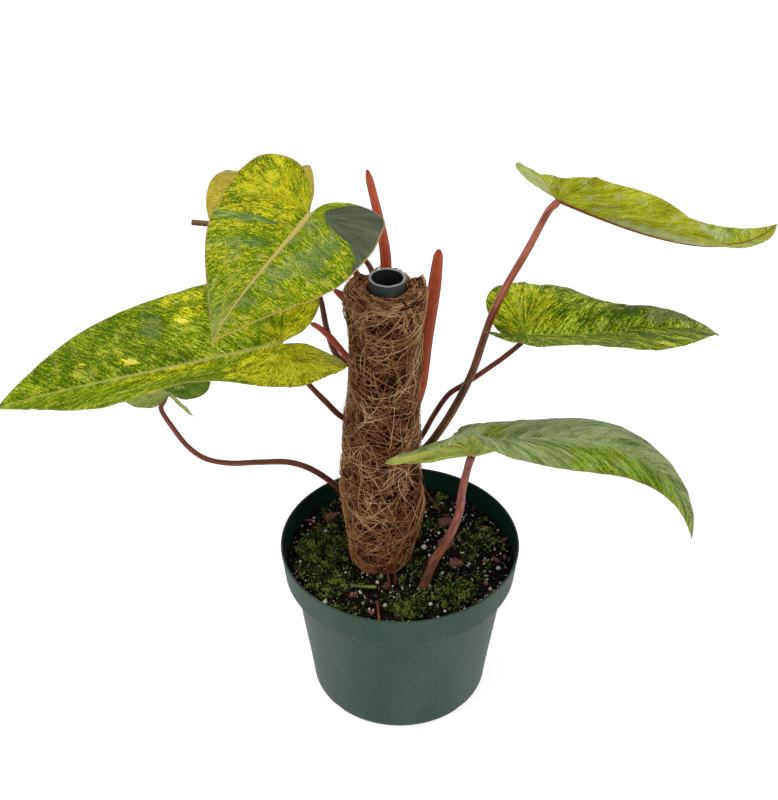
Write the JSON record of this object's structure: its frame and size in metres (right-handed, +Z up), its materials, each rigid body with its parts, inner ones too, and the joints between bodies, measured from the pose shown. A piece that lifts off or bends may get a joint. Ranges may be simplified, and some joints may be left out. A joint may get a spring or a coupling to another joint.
{
  "type": "potted philodendron",
  "caption": "Potted climbing philodendron with heart shaped variegated leaves on red stalks, tied to a coir covered pole in a round nursery pot.",
  "frame": {"origin": "centre of the pot's underside, where it rests on the floor", "axes": "+Z up along the pot, +X along the spread of the leaves, -Y towards the open front of the plant"},
  "size_m": [0.4724, 0.2138, 0.3811],
  "materials": {
    "pot": "dark green injection moulded plastic with a soft sheen and fine scuffs",
    "soil": null,
    "tube": "dark grey plastic pipe with a paler sawn end",
    "coir": "brown coconut fibre matting with loose pale fibres",
    "stem": "smooth green and brown vine bark",
    "leaf": "waxy leaf, green with fine yellow and cream streaks along the side veins",
    "stalk": "smooth red to brown leaf stalk with a soft sheen",
    "sheath": "salmon red papery sheath",
    "root": "thin reddish brown root",
    "moss": "dark green living moss",
    "bark": "dark brown bark chip",
    "litter": "dry brown plant scrap"
  },
  "bodies": {
    "root": {"pot": "pot", "potting_soil": "soil", "pole_tube": "tube", "coir_sleeve": "coir", "vine_stem": "stem", "stem_bud": "stem", "leaf_upper_left": "leaf", "leaf_back_left": "leaf", "leaf_long_left": "leaf", "leaf_small_left": "leaf", "leaf_upper_right": "leaf", "leaf_middle_right": "leaf", "leaf_lower_right": "leaf", "stalk_upper_left": "stalk", "stalk_back_left": "stalk", "stalk_cut": "stalk", "stalk_long_left": "stalk", "stalk_small_left": "stalk", "stalk_upper_right": "stalk", "stalk_middle_right": "stalk", "stalk_lower_right": "stalk", "sheath_top": "sheath", "sheath_right": "sheath", "sheath_left": "sheath", "sheath_stub": "sheath", "aerial_root_left": "root", "aerial_root_right": "root", "moss_left": "moss", "moss_front_left": "moss", "moss_front": "moss", "moss_front_right": "moss", "moss_right": "moss", "bark_back": "bark", "bark_right": "bark", "bark_near_stalk": "bark", "bark_left": "bark", "bark_inner": "bark", "dry_stem": "litter", "green_curl": "litter", "dry_sliver": "litter"}
  },
  "joints": []
}
